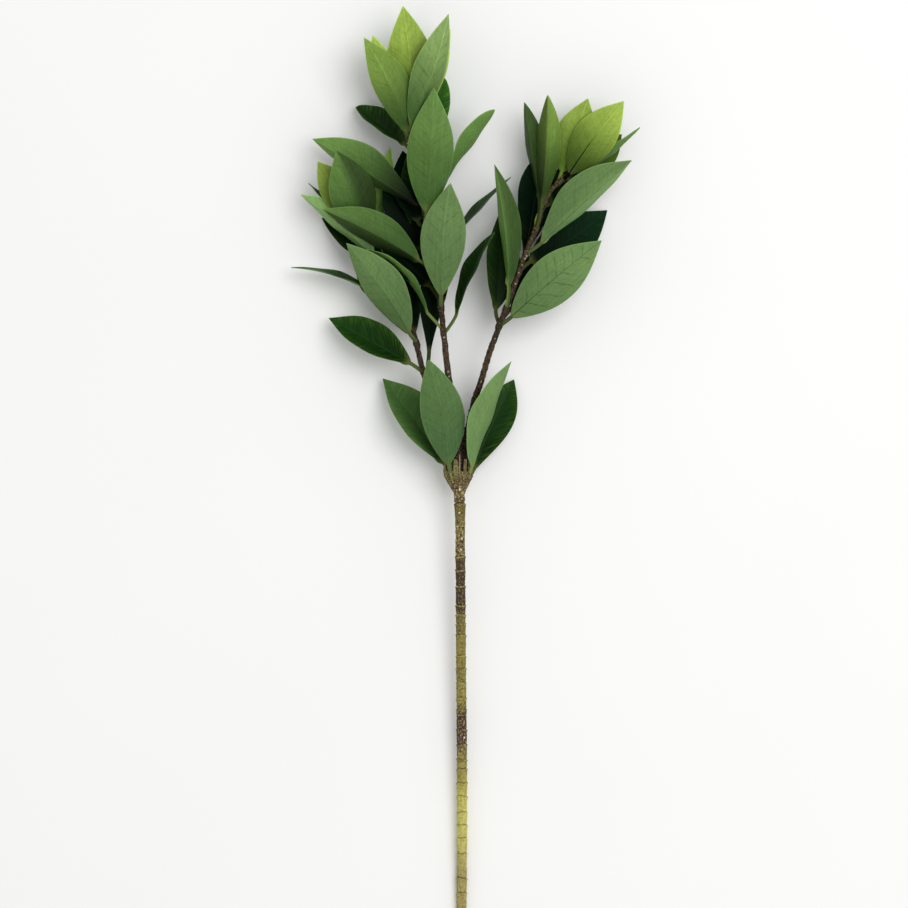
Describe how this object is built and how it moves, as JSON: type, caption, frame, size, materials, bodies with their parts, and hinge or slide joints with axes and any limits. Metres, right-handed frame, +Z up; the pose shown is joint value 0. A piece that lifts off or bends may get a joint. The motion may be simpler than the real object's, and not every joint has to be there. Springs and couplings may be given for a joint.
{
  "type": "bay leaf branch",
  "caption": "Cut bay leaf branch: a ringed cane that forks into leafy branchlets, lying on its leaves and the end of its cane.",
  "frame": {"origin": "on the surface the branch lies on, under the middle of its length and width", "axes": "+Y from the cut end of the cane towards the leafy tips, +X to the right seen from above, +Z up from the surface"},
  "size_m": [0.28, 0.741, 0.0625],
  "materials": {
    "cane_bark": "matt, speckled olive and brown",
    "leaf_mature": "satin, paler and matt underneath",
    "leaf_young": "satin, yellow-green towards the tips"
  },
  "bodies": {
    "root": {"main_stem": "cane_bark", "leaf_collar": "leaf_mature", "left_branchlet": "leaf_mature", "middle_branchlet": "leaf_mature", "right_branchlet": "leaf_young"}
  },
  "joints": []
}
